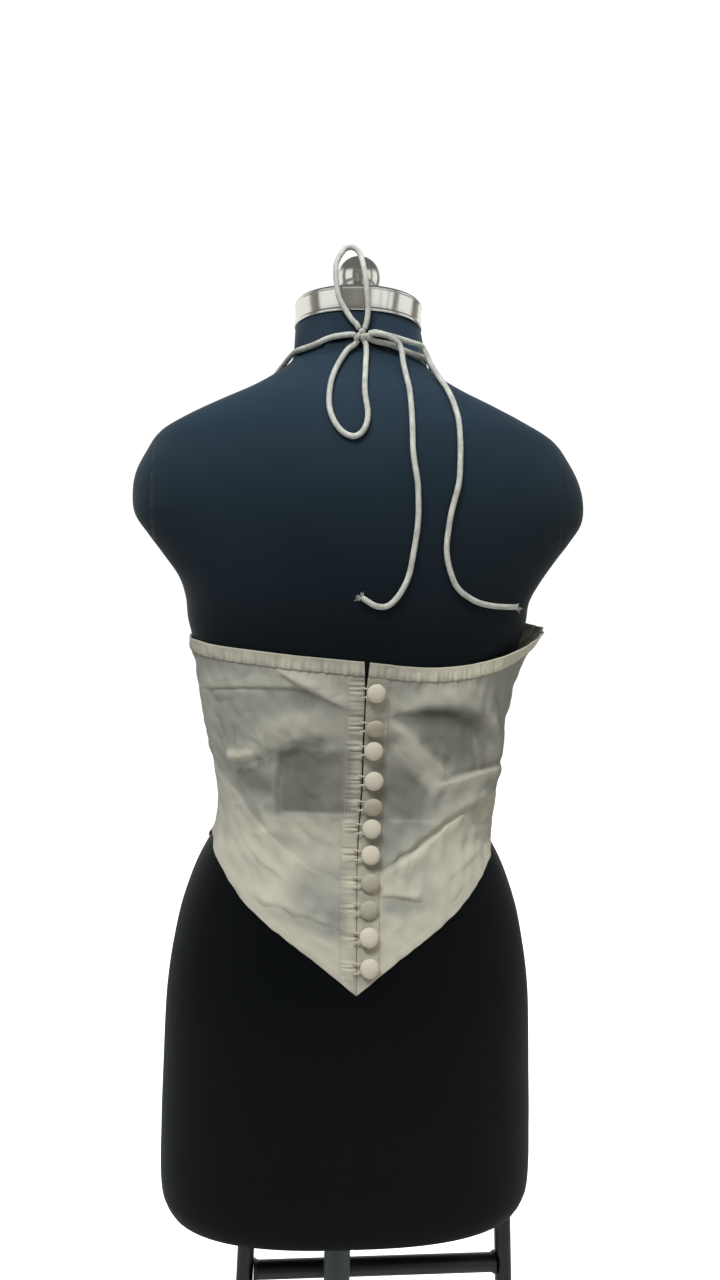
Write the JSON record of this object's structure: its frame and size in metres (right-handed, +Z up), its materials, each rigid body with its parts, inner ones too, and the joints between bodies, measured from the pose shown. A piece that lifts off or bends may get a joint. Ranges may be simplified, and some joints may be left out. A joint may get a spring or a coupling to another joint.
{
  "type": "backless corset top on dress form",
  "caption": "Pale cotton backless corset top, closed by covered buttons in loops at the centre back, tied at the neck with a halter cord, on a black limbless dress form with its stand.",
  "frame": {"origin": "on the floor under the dress form's upright axis, at the middle of the part's footprint", "axes": "+Z is up, -Y is where the wearer's back faces, +X is the wearer's right side"},
  "size_m": [0.413, 0.44, 1.482],
  "materials": {
    "cotton": "thin plain-weave cotton, matt, lightly creased",
    "cotton_trim": "the same cotton doubled, stitched and slightly gathered",
    "covered_button": "cotton drawn over a domed button, matt",
    "halter_cord": "soft round cotton cord, matt",
    "form_fabric": "smooth black knitted cover, slight sheen",
    "cap_metal": "polished",
    "post_metal": "grey satin paint",
    "stand_metal": "black semi-gloss paint"
  },
  "bodies": {
    "root": {"back_left": "cotton", "back_right": "cotton", "front_left": "cotton", "front_right": "cotton", "back_band_left": "cotton_trim", "back_band_right": "cotton_trim", "front_band_left": "cotton_trim", "front_band_right": "cotton_trim", "loop_placket": "cotton_trim", "button_stand": "cotton_trim", "loop_01": "cotton_trim", "loop_02": "cotton_trim", "loop_03": "cotton_trim", "loop_04": "cotton_trim", "loop_05": "cotton_trim", "loop_06": "cotton_trim", "loop_07": "cotton_trim", "loop_08": "cotton_trim", "loop_09": "cotton_trim", "loop_10": "cotton_trim", "loop_11": "cotton_trim", "button_01": "covered_button", "button_02": "covered_button", "button_03": "covered_button", "button_04": "covered_button", "button_05": "covered_button", "button_06": "covered_button", "button_07": "covered_button", "button_08": "covered_button", "button_09": "covered_button", "button_10": "covered_button", "button_11": "covered_button", "cord_neck_left": "halter_cord", "cord_neck_right": "halter_cord", "cord_loop_up": "halter_cord", "cord_loop_down": "halter_cord", "cord_tail_a": "halter_cord", "cord_tail_b": "halter_cord", "halter_knot": "halter_cord", "form_torso": "form_fabric", "form_shoulder_cap_left": "form_fabric", "form_shoulder_cap_right": "form_fabric", "form_neck": "form_fabric", "neck_cap": "cap_metal", "neck_knob": "cap_metal", "stand_post": "post_metal", "stand_flange": "stand_metal", "stand_upright_left": "stand_metal", "stand_upright_right": "stand_metal", "stand_crossbar": "stand_metal", "stand_top_rail": "stand_metal", "stand_runner_left": "stand_metal", "stand_runner_right": "stand_metal", "stand_floor_bar": "stand_metal"}
  },
  "joints": []
}
